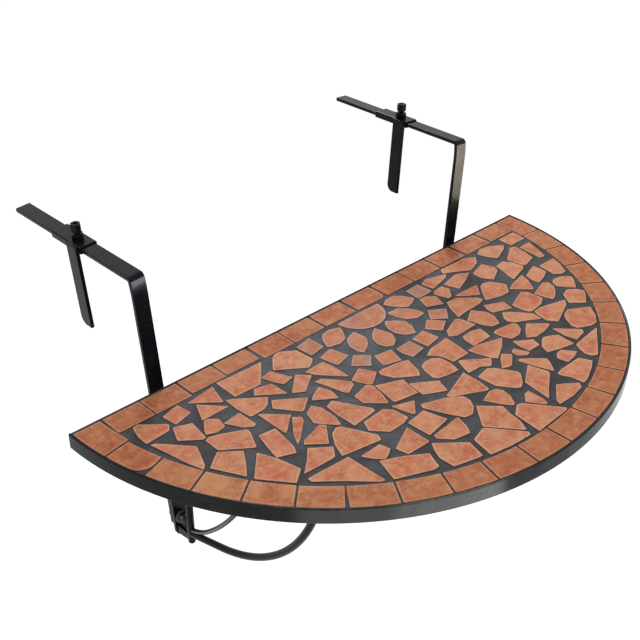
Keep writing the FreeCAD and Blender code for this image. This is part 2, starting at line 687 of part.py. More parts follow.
def make_dropper(x):
    """Flat bar welded to the sleeve's outer side; it stands behind the railing."""
    right = x - bar_width / 2 - sleeve_gap - sleeve_wall
    top = arm_top + sleeve_gap + sleeve_wall + dropper_rise
    front = dropper_front
    back = dropper_front + dropper_width
    foot = dropper_bottom
    corner_y = back - dropper_corner
    corner_z = foot + dropper_corner
    slant = dropper_corner * math.sqrt(0.5)

    def point(y, z):
        return FreeCAD.Vector(right, y, z)

    edges = [
        Part.LineSegment(point(front, top), point(back, top)),
        Part.LineSegment(point(back, top), point(back, corner_z)),
        Part.Arc(point(back, corner_z), point(corner_y + slant, corner_z - slant), point(corner_y, foot)),
        Part.LineSegment(point(corner_y, foot), point(front, foot)),
        Part.LineSegment(point(front, foot), point(front, top)),
    ]
    return Part.Face(Part.Wire([edge.toShape() for edge in edges])).extrude(X_AXIS * -dropper_thickness)


def make_weld_nut(x):
    seat = FreeCAD.Vector(x, screw_y, arm_top + sleeve_gap + sleeve_wall)
    bore = Part.makeCylinder(bolt_radius + screw_clearance, nut_height, seat, Z_AXIS)
    return hexagon(hex_across_flats, seat, Z_AXIS, nut_height).cut(bore)


def make_clamp_screw(x):
    """Screw with a six-sided head and a socket in its top; its tip bears on the arm."""
    head_foot = FreeCAD.Vector(x, screw_y, screw_top - screw_head_height)
    shank = rod((x, screw_y, arm_top + screw_tip_gap), head_foot, bolt_radius)
    head = hexagon(screw_head_flats, head_foot, Z_AXIS, screw_head_height)
    round_top = Part.makeCone(screw_head_flats, screw_head_flats / 2, screw_head_height, head_foot, Z_AXIS)
    socket_foot = FreeCAD.Vector(x, screw_y, screw_top - socket_depth)
    socket = hexagon(socket_flats, socket_foot, Z_AXIS, socket_depth)
    return head.common(round_top).fuse(shank).cut(socket).removeSplitter()


def leaned(shape, side):
    """The shape turned outwards about the line across the table at the bracket's foot on the rim."""
    turned = shape.copy()
    turned.rotate(FreeCAD.Vector(bracket_x[side], 0, 0), Y_AXIS, outward_turn[side])
    return turned


def make_bracket(side):
    x = bracket_x[side]
    save(f"{side}_hanger", [leaned(make_hanger(x), side)])
    save(f"{side}_leg_plate", [below_rim(leaned(make_leg_plate(x), side))])
    save(f"{side}_post_bolts", [leaned(make_bolt(x, z), side) for z in bolt_heights])
    save(f"{side}_post_washers", [leaned(make_washer(x, z), side) for z in bolt_heights])
    save(f"{side}_post_cap_nuts", [leaned(make_cap_nut(x, z), side) for z in bolt_heights])
    save(f"{side}_upright", [make_upright(rod_x[side])])
    brace = make_brace(rod_x[side])
    save(f"{side}_brace", [brace])
    save(f"{side}_inner_brace", [make_inner_brace(rod_x[side]).cut(brace)])
    save(f"{side}_gusset", [make_gusset(rod_x[side])])


def make_clamp(side):
    x = bracket_x[side]
    save(f"{side}_sleeve", [leaned(make_sleeve(x), side)])
    save(f"{side}_dropper", [leaned(make_dropper(x), side)])
    save(f"{side}_weld_nut", [leaned(make_weld_nut(x), side)])
    save(f"{side}_clamp_screw", [leaned(make_clamp_screw(x), side)])


os.makedirs("parts", exist_ok=True)
make_rim()
make_top()
for bracket_side in bracket_x:
    make_bracket(bracket_side)
    make_clamp(bracket_side)
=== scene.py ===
import math

import bmesh
import bpy
import numpy as np
from mathutils import Matrix, Vector

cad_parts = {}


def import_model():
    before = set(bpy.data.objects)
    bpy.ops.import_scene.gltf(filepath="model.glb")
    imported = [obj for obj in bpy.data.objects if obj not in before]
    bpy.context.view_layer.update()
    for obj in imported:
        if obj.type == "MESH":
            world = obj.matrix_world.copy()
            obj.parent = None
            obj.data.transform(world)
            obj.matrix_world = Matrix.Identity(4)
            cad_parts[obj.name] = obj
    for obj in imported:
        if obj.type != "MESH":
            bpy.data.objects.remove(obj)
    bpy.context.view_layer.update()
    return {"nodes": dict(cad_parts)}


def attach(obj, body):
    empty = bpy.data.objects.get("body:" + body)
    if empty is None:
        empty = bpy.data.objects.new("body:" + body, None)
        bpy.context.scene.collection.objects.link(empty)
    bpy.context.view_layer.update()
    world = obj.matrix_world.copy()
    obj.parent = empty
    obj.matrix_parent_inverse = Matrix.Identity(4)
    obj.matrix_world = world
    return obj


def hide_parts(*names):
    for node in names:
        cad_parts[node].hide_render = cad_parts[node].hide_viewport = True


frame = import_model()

# Driving sizes in mm, in the table's own frame: x along the back edge, y = 0 at the outer
# back edge with the front at -y, z = 0 at the rim's top
top_radius = 380.0
rim_thickness = 3.0
rim_height = 19.0
tile_top = -0.62
grout_top = -1.4
bed_bottom = -5.5
bracket_offset = -9.0
bracket_spacing = 508.0
rod_offset = 9.0
lean = math.radians(4)
bar_width = 19.0
bar_thickness = 5.0
arm_top = 152.0
arm_length = 232.0
post_bottom = -206.0
leg_bottom = -226.0
upright_y = -31.0
upright_bottom = -218.0
rod_radius = 4.5
bolt_heights = (-40.0, -196.0)
nut_flats = 13.0
nut_height = 6.5
sleeve_front, sleeve_back = 93.0, 151.0
sleeve_gap = 0.4
sleeve_wall = 1.5
dropper_front = 94.0
dropper_thickness = 4.5
dropper_bottom = 48.0
screw_y = 113.0

# Places worked out from them. The part's origin is the railing's corner. The brackets lean
# outwards about the points where their posts pass the rim's top. The ends of the rim's back
# bar and of the stretchers go 0.2 mm into the round bar, so that no gap shows.
inside_radius = top_radius - rim_thickness
tucked_radius = inside_radius + 0.2
arm_middle = arm_top - bar_thickness / 2
arm_underside = arm_top - bar_thickness
arm_edge_height = arm_underside * math.cos(lean) - bar_width / 2 * math.sin(lean)
railing_corner = np.array([bracket_offset, bar_thickness, arm_edge_height])
bracket_x = {
    "left": bracket_offset - bracket_spacing / 2,
    "right": bracket_offset + bracket_spacing / 2,
}
rod_x = {"left": bracket_x["left"] + rod_offset, "right": bracket_x["right"] - rod_offset}
outward_turn = {"left": -lean, "right": lean}
sleeve_bore = (bar_width + 2 * sleeve_gap, bar_thickness + 2 * sleeve_gap)
sleeve_outside = tuple(size + 2 * sleeve_wall for size in sleeve_bore)
sleeve_top = arm_top + sleeve_gap + sleeve_wall
flower_centre = np.array([10.0, -36.0])
X, Y, Z = np.eye(3)

# Points round every turned piece
facets = 72

# Round-over of an edge as (inset, distance along), in shares of its radius
round_over = np.array([(1, 0), (0.617, 0.076), (0.293, 0.293), (0.076, 0.617), (0, 1), (0, 2.2)])


# Skins

def shell(rings, joined):
    """Closed skin of a grid of rings: a quad between neighbouring points of neighbouring
    rings. The last ring meets the first, or a fan closes each end ring at its mean."""
    rows, columns, width = rings.shape
    row = np.arange(rows if joined else rows - 1)[:, None] * columns
    column = np.arange(columns)
    after = (column + 1) % columns
    above = (row + columns) % (rows * columns)
    quads = np.stack([row + column, row + after, above + after, above + column], axis=-1)
    points = rings.reshape(-1, width)
    fans = np.empty((0, 3), int)
    if not joined:
        points = np.concatenate([points, rings[:1].mean(axis=1), rings[-1:].mean(axis=1)])
        last = (rows - 1) * columns
        start_pole = np.full(columns, rows * columns)
        first_fan = np.stack([start_pole, after, column], axis=-1)
        last_fan = np.stack([start_pole + 1, last + column, last + after], axis=-1)
        fans = np.concatenate([first_fan, last_fan])
    return points, quads.reshape(-1, 4), fans


def outwards(points, quads, fans):
    """The faces turned round where the volume that they enclose comes out negative."""
    threes = np.concatenate([quads[:, [0, 1, 2]], quads[:, [0, 2, 3]], fans])
    a, b, c = np.moveaxis(points[threes, :3] - points[:, :3].mean(axis=0), 1, 0)
    if np.sum(a * np.cross(b, c)) < 0:
        return quads[:, ::-1], fans[:, ::-1]
    return quads, fans


def leaned(rings, side):
    """Rings turned outwards about the line across the table where the side's post passes
    the rim's top."""
    turn = outward_turn[side]
    out = rings.copy()
    beside = rings[..., 0] - bracket_x[side]
    out[..., 0] = bracket_x[side] + beside * math.cos(turn) + rings[..., 2] * math.sin(turn)
    out[..., 2] = rings[..., 2] * math.cos(turn) - beside * math.sin(turn)
    return out


def piece(name, skins, nodes, finish, body="table", marks=(), sharp=40):
    """One mesh of several skins in place of its CAD nodes, moved from the table's frame in
    mm to the part's frame in metres. A skin is a grid of rings and whether its ends join, or
    points, quads and fans. Columns past the third are the point marks named in marks."""
    points, corners, sizes = [], [], []
    count = 0
    for skin in skins:
        spots, quads, fans = skin if len(skin) == 3 else shell(*skin)
        quads, fans = outwards(spots, quads, fans)
        points.append(spots)
        corners += [quads.ravel() + count, fans.ravel() + count]
        sizes += [np.full(len(quads), 4), np.full(len(fans), 3)]
        count += len(spots)
    points = np.concatenate(points)
    corners = np.concatenate(corners)
    sizes = np.concatenate(sizes)
    starts = np.concatenate([[0], np.cumsum(sizes)[:-1]])
    mesh = bpy.data.meshes.new(name)
    mesh.vertices.add(count)
    mesh.vertices.foreach_set("co", ((points[:, :3] - railing_corner) * 0.001).ravel())
    mesh.loops.add(len(corners))
    mesh.loops.foreach_set("vertex_index", corners)
    mesh.polygons.add(len(sizes))
    mesh.polygons.foreach_set("loop_start", starts)
    mesh.update(calc_edges=True)
    mesh.polygons.foreach_set("use_smooth", np.ones(len(sizes), bool))
    mesh.set_sharp_from_angle(angle=math.radians(sharp))
    for column, mark in enumerate(marks, start=3):
        values = mesh.attributes.new(mark, "FLOAT", "POINT").data
        values.foreach_set("value", points[:, column].copy())
    made = bpy.data.objects.new(name, mesh)
    bpy.context.scene.collection.objects.link(made)
    made.data.materials.append(finishes[finish])
    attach(made, body)
    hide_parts(*nodes)
    return made


# Profiles and paths

def rounded_rectangle(width, height, corner, inset=0.0):
    """Ring round a rectangle: a quarter circle at each corner and one point beside it on
    each straight side, all moved in by the inset."""
    half = np.array([width, height]) / 2 - inset
    radius = max(corner - inset, 0.02)
    beside = radius + min(0.6, (half.min() - radius) / 2)
    turn = np.radians([0, 22.5, 45, 67.5, 90])
    arc = np.stack([np.cos(turn), np.sin(turn)], axis=-1) * radius - radius
    quarter = half + np.concatenate([[(0, -beside)], arc, [(-beside, 0)]])
    flip = np.array([-1, 1])
    return np.concatenate([quarter, (quarter * flip)[::-1], -quarter, (quarter * -flip)[::-1]])


def circle(radius, count=32):
    """Ring of points at equal turns round a circle."""
    turn = np.arange(count) * (2 * math.pi / count)
    return np.stack([np.cos(turn), np.sin(turn)], axis=-1) * radius


def carried(profile, path, across, edge=0.6):
    """A profile carried along a path: each ring stands square to the path, its first
    direction across and its second square to both. The profile, a function of its inset,
    shrinks into a rounded edge at each end of the path."""
    step = np.diff(path, axis=0)
    heading = step / np.linalg.norm(step, axis=1, keepdims=True)
    tangent = np.concatenate([heading[:1], heading[:-1] + heading[1:], heading[-1:]])
    tangent /= np.linalg.norm(tangent, axis=1, keepdims=True)
    end_rows = round_over * edge
    centres = [path[0] + heading[0] * along for _, along in end_rows]
    centres += list(path[1:-1])
    centres += [path[-1] - heading[-1] * along for _, along in end_rows[::-1]]
    between = len(path) - 2
    insets = [*end_rows[:, 0], *np.zeros(between), *end_rows[::-1, 0]]
    repeats = [len(end_rows), *np.ones(between, int), len(end_rows)]
    ups = np.cross(np.repeat(tangent, repeats, axis=0), across)
    rings = np.stack([profile(inset) for inset in insets])
    return np.array(centres)[:, None] + rings[..., :1] * across + rings[..., 1:] * ups[:, None]


def dense_loop(corners, step, rounds):
    """Closed outline whose sides are each cut into equal steps, its corners softened by
    averaging each point with its two neighbours, rounds times."""
    ends = np.roll(corners, -1, axis=0)
    pieces = np.maximum(1, np.rint(np.linalg.norm(ends - corners, axis=1) / step)).astype(int)
    side = np.repeat(np.arange(len(corners)), pieces)
    share = (np.arange(len(side)) - np.repeat(np.cumsum(pieces) - pieces, pieces)) / pieces[side]
    loop = corners[side] + (ends - corners)[side] * share[:, None]
    for _ in range(rounds):
        loop = (np.roll(loop, 1, axis=0) + 2 * loop + np.roll(loop, -1, axis=0)) / 4
    return loop


def inwards(loop):
    """Unit vector into the outline at each of its points, square to its neighbours' chord."""
    chord = np.roll(loop, -1, axis=0) - np.roll(loop, 1, axis=0)
    chord /= np.linalg.norm(chord, axis=1, keepdims=True)
    area = np.sum(loop[:, 0] * np.roll(loop[:, 1], -1) - loop[:, 1] * np.roll(loop[:, 0], -1))
    return np.stack([-chord[:, 1], chord[:, 0]], axis=-1) * np.sign(area)


def plate(loop, axes, low, high, edge=0.6):
    """Flat plate: the outline's rings go from one face over the rounded edge to the other
    face. axes are the two directions of the outline and the direction of its thickness."""
    inward = inwards(loop)
    rows = [(2.5 * edge, low)]
    rows += [(inset * edge, low + along * edge) for inset, along in round_over[:5]]
    rows += [(inset, low + high - depth) for inset, depth in rows[::-1]]
    flat = np.stack([loop + inward * inset for inset, _ in rows])
    depth = np.array([depth for _, depth in rows])[:, None, None]
    return flat[..., :1] * axes[0] + flat[..., 1:] * axes[1] + depth * axes[2]


def turned(centre, axis, heights, radii, count=facets):
    """Rings round an axis: the ring at each height has one radius, or one for each turn."""
    side = X if abs(axis[0]) < 0.5 else Y
    up = np.cross(axis, side)
    turn = np.arange(count) * (2 * math.pi / count)
    round_axis = np.cos(turn)[:, None] * side + np.sin(turn)[:, None] * up
    rows = len(heights)
    heights = np.asarray(heights, float)[:, None, None]
    radii = np.broadcast_to(np.reshape(radii, (rows, -1)), (rows, count))
    return np.asarray(centre, float) + heights * axis + radii[..., None] * round_axis


def six_sided(flats):
    """Radius of a hexagon at each turn, with a corner on the first: half the width across
    its flats over the cosine of the turn from the middle of the side."""
    turn = np.degrees(np.arange(facets) * (2 * math.pi / facets)) % 60
    return flats / 2 / np.cos(np.radians(turn - 30))


def hex_rows(flats, height, chamfers=(True, True)):
    """Heights and radii of a six-sided bar whose corners a 30 degree cone takes off at
    each end: the smaller of the hexagon and the cones."""
    near_end = np.array([0, 0.15, 0.3, 0.5, 0.8])
    heights = [near_end, np.linspace(1.2, height - 1.2, 4), height - near_end[::-1]]
    heights = np.concatenate(heights)
    radii = np.tile(six_sided(flats), (len(heights), 1))
    end_radius, cone = 0.485 * flats, 1.732
    for wanted, depth in zip(chamfers, (heights, height - heights)):
        if wanted:
            radii = np.minimum(radii, end_radius + depth[:, None] * cone)
    return heights, radii


def stacked(*profiles):
    """Heights and radii of turned profiles that follow each other. A profile has one radius
    for each height, or one for each turn of it."""
    heights = np.concatenate([heights for heights, _ in profiles])
    radii = [np.broadcast_to(np.reshape(radii, (len(heights), -1)), (len(heights), facets))
             for heights, radii in profiles]
    return heights, np.concatenate(radii)


# Steelwork

def marked_satin(rings):
    """The rings with a point mark of 1, for the evener black of the rim and fasteners."""
    return np.dstack([rings, np.ones(rings.shape[:2])])


def rim():
    """Flat bar on edge, carried round the half circle, and a straight one across its back.
    Its top edges are rolled rounder than its lower ones."""
    rolled, crisp = (rounded_rectangle(rim_thickness, rim_height, edge) for edge in (1.42, 0.6))
    section = np.where(rolled[:, 1:] > 0, rolled, crisp)
    turn = np.radians(np.linspace(180, 360, 241))[:, None]
    outward = np.cos(turn) * X + np.sin(turn) * Y
    middle = (top_radius - rim_thickness / 2) * outward - rim_height / 2 * Z
    rings = middle[:, None] + section[:, :1] * outward[:, None] + section[:, 1:] * Z
    skins = [(marked_satin(rings), False)]
    piece("rim_round_bar", skins, ["rim_arc"], "frame_steel", marks=("satin",))

    y = section[:, 0] - rim_thickness / 2
    z = section[:, 1] - rim_height / 2
    x = np.linspace(-1, 1, 61)[:, None] * np.sqrt(tucked_radius ** 2 - y ** 2)
    rings = np.dstack(np.broadcast_arrays(x, y, z))
    skins = [(marked_satin(rings), False)]
    piece("rim_back_bar", skins, ["rim_back"], "frame_steel", marks=("satin",))


def stretcher(side):
    """Flat bar under the board; its front end follows the rim's inside."""
    section = rounded_rectangle(bar_width, bar_thickness, 0.6)
    x = section[:, 0] + rod_x[side]
    z = section[:, 1] - (rim_height - bar_thickness / 2)
    back = 0.1 - rim_thickness
    front = -np.sqrt(tucked_radius ** 2 - x ** 2)
    y = back + np.linspace(0, 1, 25)[:, None] * (front - back)
    rings = np.dstack(np.broadcast_arrays(x, y, z))
    piece(f"{side}_stretcher_bar", [(rings, False)], [f"{side}_stretcher"], "frame_steel")


def hanger(side):
    """Flat bar bent square: up the post, which eases back along a parabola over its last
    20 mm, round a tight elliptic bend, back along the arm."""
    middle, ease, ease_start = bar_thickness / 2, 1.4, 125.0
    bend_y, bend_rise = 7.0, 4.1
    bend_z = arm_middle - bend_rise
    low_post = [(middle, z) for z in (post_bottom, -150, -60, 0, 60, 112)]
    z = np.linspace(ease_start, bend_z, 12)
    eased = middle + ease * ((z - ease_start) / (bend_z - ease_start)) ** 2
    turn = np.radians(np.linspace(10, 90, 13))
    bend = bend_y - (bend_y - middle - ease) * np.cos(turn), bend_z + bend_rise * np.sin(turn)
    arm = [(y, arm_middle) for y in (8, 30, 90, 150, 200, arm_length)]
    path = np.concatenate([low_post, np.stack([eased, z], axis=-1), np.stack(bend, axis=-1), arm])
    path = np.column_stack([np.full(len(path), bracket_x[side]), path])
    rings = carried(lambda inset: rounded_rectangle(bar_width, bar_thickness, 0.7, inset), path, X)
    rings = leaned(rings, side)
    piece(f"{side}_hanger_bar", [(rings, False)], [f"{side}_hanger"], "frame_steel")


def leg_plate(side):
    """Flat bar with a half-round foot, cut off level under the rim."""
    x, half, top = bracket_x[side], bar_width / 2, -12
    turn = np.radians(np.linspace(180, 360, 25))
    foot = np.stack([x + half * np.cos(turn), leg_bottom + half + half * np.sin(turn)], axis=-1)
    loop = dense_loop(np.array([(x + half, top), (x - half, top), *foot]), 1.5, 0)
    rings = leaned(plate(loop, (X, Z, Y), -bar_thickness, 0), side)
    rings[..., 2] = np.minimum(rings[..., 2], -rim_height - 0.05)
    piece(f"{side}_leg_bar", [(rings, False)], [f"{side}_leg_plate"], "frame_steel")


def upright(side):
    """Round bar whose lower end is rounded over."""
    rows = [(0, 2.5), (0.15, 3.3), (0.6, 3.95), (1.2, 4.35)]
    length = -rim_height - upright_bottom
    rows += [(height, rod_radius) for height in (2, 4, 60, 120, 190, length)]
    rings = turned((rod_x[side], upright_y, upright_bottom), Z, *np.array(rows).T, count=36)
    piece(f"{side}_upright_rod", [(rings, False)], [f"{side}_upright"], "frame_steel")


def arc_points(centre, radius, slopes):
    """Points of a rising arc, as y and z: from its centre, a radius square to each slope."""
    turn = np.radians(slopes)
    return np.stack([centre[0] - radius * np.sin(turn), centre[1] - radius * np.cos(turn)], axis=-1)


def arc_centre(start, radius, slope):
    """Centre of the rising arc that has the given slope at its start."""
    turn = math.radians(slope)
    return start[0] + radius * math.sin(turn), start[1] + radius * math.cos(turn)


def braces(side):
    """Two round bars up from the upright's foot. The thick one runs straight and then in
    one long arc, the thin one in a tight arc and then a long one; both end level under
    the top."""
    root_z, slope, long_arc = -204.1, 17, 243
    rise = math.tan(math.radians(slope))
    straight = [(y, root_z + (upright_y - y) * rise) for y in (upright_y, -50, -90)]
    centre = arc_centre(straight[-1], long_arc, slope)
    thick = [*straight[:-1], *arc_points(centre, long_arc, np.linspace(slope, 82, 44))]

    thin_root, (tight_arc, wide_arc), slopes = (-33.5, -197), (100, 330), (20, 43)
    first = arc_centre(thin_root, tight_arc, slopes[0])
    second = arc_centre(arc_points(first, tight_arc, slopes[1]), wide_arc, slopes[1])
    thin = [*arc_points(first, tight_arc, np.linspace(slopes[0], slopes[1] - 1, 12)),
            *arc_points(second, wide_arc, np.linspace(slopes[1], 80, 34))]

    for name, points, radius in (("brace", thick, rod_radius), ("inner_brace", thin, 3.0)):
        path = np.array([(rod_x[side], y, z) for y, z in points])
        path = path[: np.argmax(path[:, 2] > -rim_height + radius * 1.1) + 1]
        rings = carried(lambda inset: circle(radius), path, X, 0.01)
        rings[..., 2] = np.minimum(rings[..., 2], -rim_height)
        piece(f"{side}_{name}_rod", [(rings, False)], [f"{side}_{name}"], "frame_steel")


def gusset(side):
    """Small plate between the leg bar and the upright's foot."""
    corners = np.array([(-4.8, -206.5), (-28, -206.5), (-28, -216.5), (-4.8, -219)])
    half_thickness = 2
    low, high = rod_x[side] - half_thickness, rod_x[side] + half_thickness
    rings = plate(dense_loop(corners, 1.0, 1), (Y, Z, X), low, high, 0.4)
    piece(f"{side}_gusset_plate", [(rings, False)], [f"{side}_gusset"], "frame_steel")


# Fasteners

def post_fasteners(side):
    """Hexagon bolt behind the post, washer and cap nut in front of the leg bar, twice. The
    nut's cap is a short cylinder that ends in a dome."""
    bolts, washers, nuts = [], [], []
    head_height, washer_thickness, cap_radius, dome_foot = 5.3, 1.6, 6.1, 8.9
    washer = [(0, 4.3), (0, 8.7), (0.3, 9), (1.3, 9), (washer_thickness, 8.7),
              (washer_thickness, 4.6), (1.3, 4.3)]
    turn = np.radians(np.linspace(0, 84, 12))
    dome = np.stack([dome_foot + cap_radius * np.sin(turn), cap_radius * np.cos(turn)], axis=-1)
    cap = np.array([(nut_height, 6.3), (6.6, 6.15), (7.2, cap_radius), *dome])
    for height in bolt_heights:
        behind, before = (np.array([bracket_x[side], y, height])
                          for y in (bar_thickness, -bar_thickness))
        shank = turned(behind, -Y, [16, 0.3], [3.9, 3.9])
        head = turned(behind, Y, *hex_rows(nut_flats, head_height, (False, True)))
        bolts.append((marked_satin(leaned(np.concatenate([shank, head]), side)), False))
        rings = turned(before, -Y, *np.array(washer).T)
        washers.append((marked_satin(leaned(rings, side)), True))
        rows = stacked(hex_rows(nut_flats, nut_height), cap.T)
        rings = turned(before - washer_thickness * Y, -Y, *rows)
        nuts.append((marked_satin(leaned(rings, side)), False))
    for name, skins, node, sharp in (("bolt_heads", bolts, "post_bolts", 25),
                                     ("flat_washers", washers, "post_washers", 30),
                                     ("cap_nuts", nuts, "post_cap_nuts", 25)):
        piece(f"{side}_{name}", skins, [f"{side}_{node}"], "black_fastener",
              marks=("satin",), sharp=sharp)


def sleeve(side):
    """Rectangular tube round the arm: rings along its outside, over the rounded back end,
    back along its inside and over the front end."""
    def outer(inset):
        """Ring of the tube's outside, moved in by the inset."""
        return rounded_rectangle(*sleeve_outside, 1.6, inset)

    def inner(grown):
        """Ring of the tube's bore, moved out by how much it has grown."""
        return rounded_rectangle(*sleeve_bore, 0.7, -grown)

    front, back = sleeve_front, sleeve_back
    outside = (front + 0.4, front + 1.4, 108, 122, 136, back - 1.4, back - 0.4)
    inside = (back - 0.3, back - 1.4, 122, front + 1.4, front + 0.3)
    rows = [(outer(0), y) for y in outside]
    rows += [(outer(0.12), back - 0.12), (outer(0.4), back)]
    rows += [(inner(0.3), back), (inner(0.1), back - 0.1)]
    rows += [(inner(0), y) for y in inside]
    rows += [(inner(0.1), front + 0.1), (inner(0.3), front)]
    rows += [(outer(0.4), front), (outer(0.12), front + 0.12)]
    section = np.stack([ring for ring, _ in rows])
    y = np.array([y for _, y in rows])[:, None]
    x, z = section[..., 0] + bracket_x[side], section[..., 1] + arm_middle
    rings = leaned(np.dstack(np.broadcast_arrays(x, y, z)), side)
    piece(f"{side}_arm_sleeve", [(rings, True)], [f"{side}_sleeve"], "frame_steel", f"{side}_clamp")


def dropper(side):
    """Flat bar on the sleeve's left side, one corner of its lower end a quarter circle."""
    corner_radius, top = 10, sleeve_top + 1
    back = dropper_front + bar_width
    turn = np.radians(np.linspace(0, -90, 13))
    corner = np.stack([np.cos(turn), np.sin(turn)], axis=-1) * corner_radius
    corner += np.array([back - corner_radius, dropper_bottom + corner_radius])
    corners = [(dropper_front, top), (back, top), *corner, (dropper_front, dropper_bottom)]
    loop = dense_loop(np.array(corners), 1.5, 0)
    inner_face = bracket_x[side] - sleeve_outside[0] / 2
    rings = leaned(plate(loop, (Y, Z, X), inner_face - dropper_thickness, inner_face), side)
    piece(f"{side}_dropper_bar", [(rings, False)], [f"{side}_dropper"], "frame_steel",
          f"{side}_clamp")


def weld_nut(side):
    """Hexagon nut on the sleeve, with a countersunk bore."""
    bore = np.array([(nut_height, 5.0), (6.0, 4.1), (0.5, 4.1), (0, 5.0)])
    rows = stacked(hex_rows(nut_flats, nut_height), bore.T)
    rings = leaned(turned((bracket_x[side], screw_y, sleeve_top), Z, *rows), side)
    piece(f"{side}_clamp_nut", [(rings, True)], [f"{side}_weld_nut"], "frame_steel",
          f"{side}_clamp", sharp=25)


def clamp_screw(side):
    """Screw in the nut: a plain tip, a thread whose groove goes round once in each pitch of
    climb where it shows, and a six-sided head with a six-sided socket."""
    pitch, thread_radius, groove_depth = 1.25, 4, 0.62
    turns = np.arange(facets) / facets
    climb = np.arange(7.5, 10.6, 0.125)
    groove = np.abs(((climb[:, None] / pitch - turns) % 1) * 2 - 1)
    thread = thread_radius - groove_depth * np.clip(groove * 1.3 - 0.15, 0, 1)
    tip = np.array([(0, 3.1), (0.7, 3.9), (7.4, 3.9)])
    head_foot = 10.7
    head_heights, head_radii = hex_rows(11, 10)
    rows = stacked(
        tip.T,
        (climb, thread),
        (head_foot + head_heights, head_radii),
        (head_foot + np.array([10.0, 9.7]), [3.3, 3.0]),
        (head_foot + np.array([9.65, 8.5, 7.0]), np.tile(six_sided(5), (3, 1))),
    )
    tip_gap = 0.3
    rings = leaned(turned((bracket_x[side], screw_y, arm_top + tip_gap), Z, *rows), side)
    piece(f"{side}_screw", [(rings, False)], [f"{side}_clamp_screw"], "black_fastener",
          f"{side}_screw", sharp=25)


# Mosaic

def waves(seed, places, lengths, count=7):
    """Smooth unevenness from about -1 to 1: the sum of waves of random heading and phase,
    their lengths in equal steps, over the square root of their number."""
    dice = np.random.default_rng(seed)
    total = 0
    for length in np.linspace(lengths[0], lengths[1], count):
        turn, phase = dice.uniform(0, 2 * math.pi, 2)
        along = places[..., 0] * math.cos(turn) + places[..., 1] * math.sin(turn)
        total = total + np.sin(along * (2 * math.pi / length) + phase)
    return total / math.sqrt(count) / 1.5


def tile_outlines(node):
    """Outlines of a node's tiles in the table's frame, from left to right: the corners of
    each top face in a merged copy of its mesh whose flat triangles are joined."""
    work = bmesh.new()
    work.from_mesh(frame["nodes"][node].data)
    bmesh.ops.remove_doubles(work, verts=work.verts, dist=2e-6)
    bmesh.ops.dissolve_limit(work, angle_limit=0.003, verts=work.verts, edges=work.edges)
    tops = [face for face in work.faces if face.normal.z > 0.99]
    corners = [np.array([vertex.co[:2] for vertex in face.verts]) for face in tops]
    work.free()
    outlines = [places * 1000 + railing_corner[:2] for places in corners]
    return sorted(outlines, key=lambda outline: outline.mean(axis=0)[0])


def tile_tones(node, seed, outlines):
    """Where each tile's colour lies between the two of its finish, from 0 to 1: by chance,
    with the arc border palest round its fifth tile and five pinkish tiles in the ring."""
    count = len(outlines)
    chance = np.clip(np.random.default_rng(seed).normal(0.5, 0.3, count), 0, 1)
    if node == "border_arc_tiles":
        palest, spread = 4, 2.2
        pale = np.exp(-((np.arange(count) - palest) / spread) ** 2)
        return np.clip(0.35 * chance + 0.75 * pale, 0, 1)
    if node in ("border_back_tiles", "flower_petals"):
        return chance * 0.4
    # The middle and right field tiles lean to the paler colour: a painted sheen
    if node in ("crazy_tiles_middle", "crazy_tiles_right"):
        return np.minimum(chance + 0.25, 1)
    if node == "flower_half_disc":
        return np.full(count, 0.6)
    if node == "flower_ring_tiles":
        away = np.array([outline.mean(axis=0) for outline in outlines]) - flower_centre
        round_flower = np.argsort(np.arctan2(away[:, 0], -away[:, 1]))
        tones = np.zeros(count)
        tones[round_flower[[0, 2, 4, 7, 9]]] = 1
        return tones
    return chance


def tile_skin(outline, seed, tone):
    """One tile. Its rings go out from the middle of the face, over a worn edge and down
    the side. The edge is a little uneven, with small chips that come and go along it, and
    the face tilts and rolls a little. Marks: the tile's tone, how near the edge is, and
    how much painted shade, in a grout brown, darkens its side."""
    dice = np.random.default_rng(seed)
    loop = dense_loop(outline, 1.0, 1)
    inward = inwards(loop)
    middle = loop.mean(axis=0)
    growth = 0.22
    uneven = -growth + 0.07 * waves(seed, loop, (3.0, 9.0))
    chips = np.clip(waves(seed + 7, loop, (7.0, 19.0)) - 0.85, 0, 1) * 1.1
    line = loop + inward * (uneven + chips)[:, None]
    lip = line + inward * 0.6

    # Rows over the face by their share of the way to the middle, and rows over the edge by
    # their inset; each with its drop, how near the edge is and how much painted shade darkens it
    face = [(0.82, 0, 0, 0), (0.58, 0, 0, 0), (0.34, 0, 0, 0), (0.15, 0, 0.15, 0),
            (0.06, 0.02, 0.75, 0)]
    edge = [(0.6, 0.07, 1, 0), (0.3, 0.18, 1, 0), (0.1, 0.42, 1, 0.2), (0, 0.7, 0.8, 1),
            (0, 5.0, 0, 1)]
    flat = [lip + (middle - lip) * row[0] for row in face]
    flat += [line + inward * row[0] for row in edge]
    flat = np.stack(flat)
    drops, near, side_shade = np.array([row[1:] for row in face + edge]).T[..., None]
    tilt = dice.normal(0, 0.0022, 2)
    roll = 0.07 * waves(seed + 3, flat, (18, 60))
    level = tile_top + dice.normal(0, 0.06)
    top = level + np.clip(((flat - middle) * tilt).sum(axis=-1) + roll, -0.3, 0.3)
    height = np.maximum(top - drops, bed_bottom)
    height[-1] = bed_bottom
    marks = [np.broadcast_to(mark, height.shape) for mark in (tone, near, side_shade)]
    return np.dstack([flat, height, *marks]), False


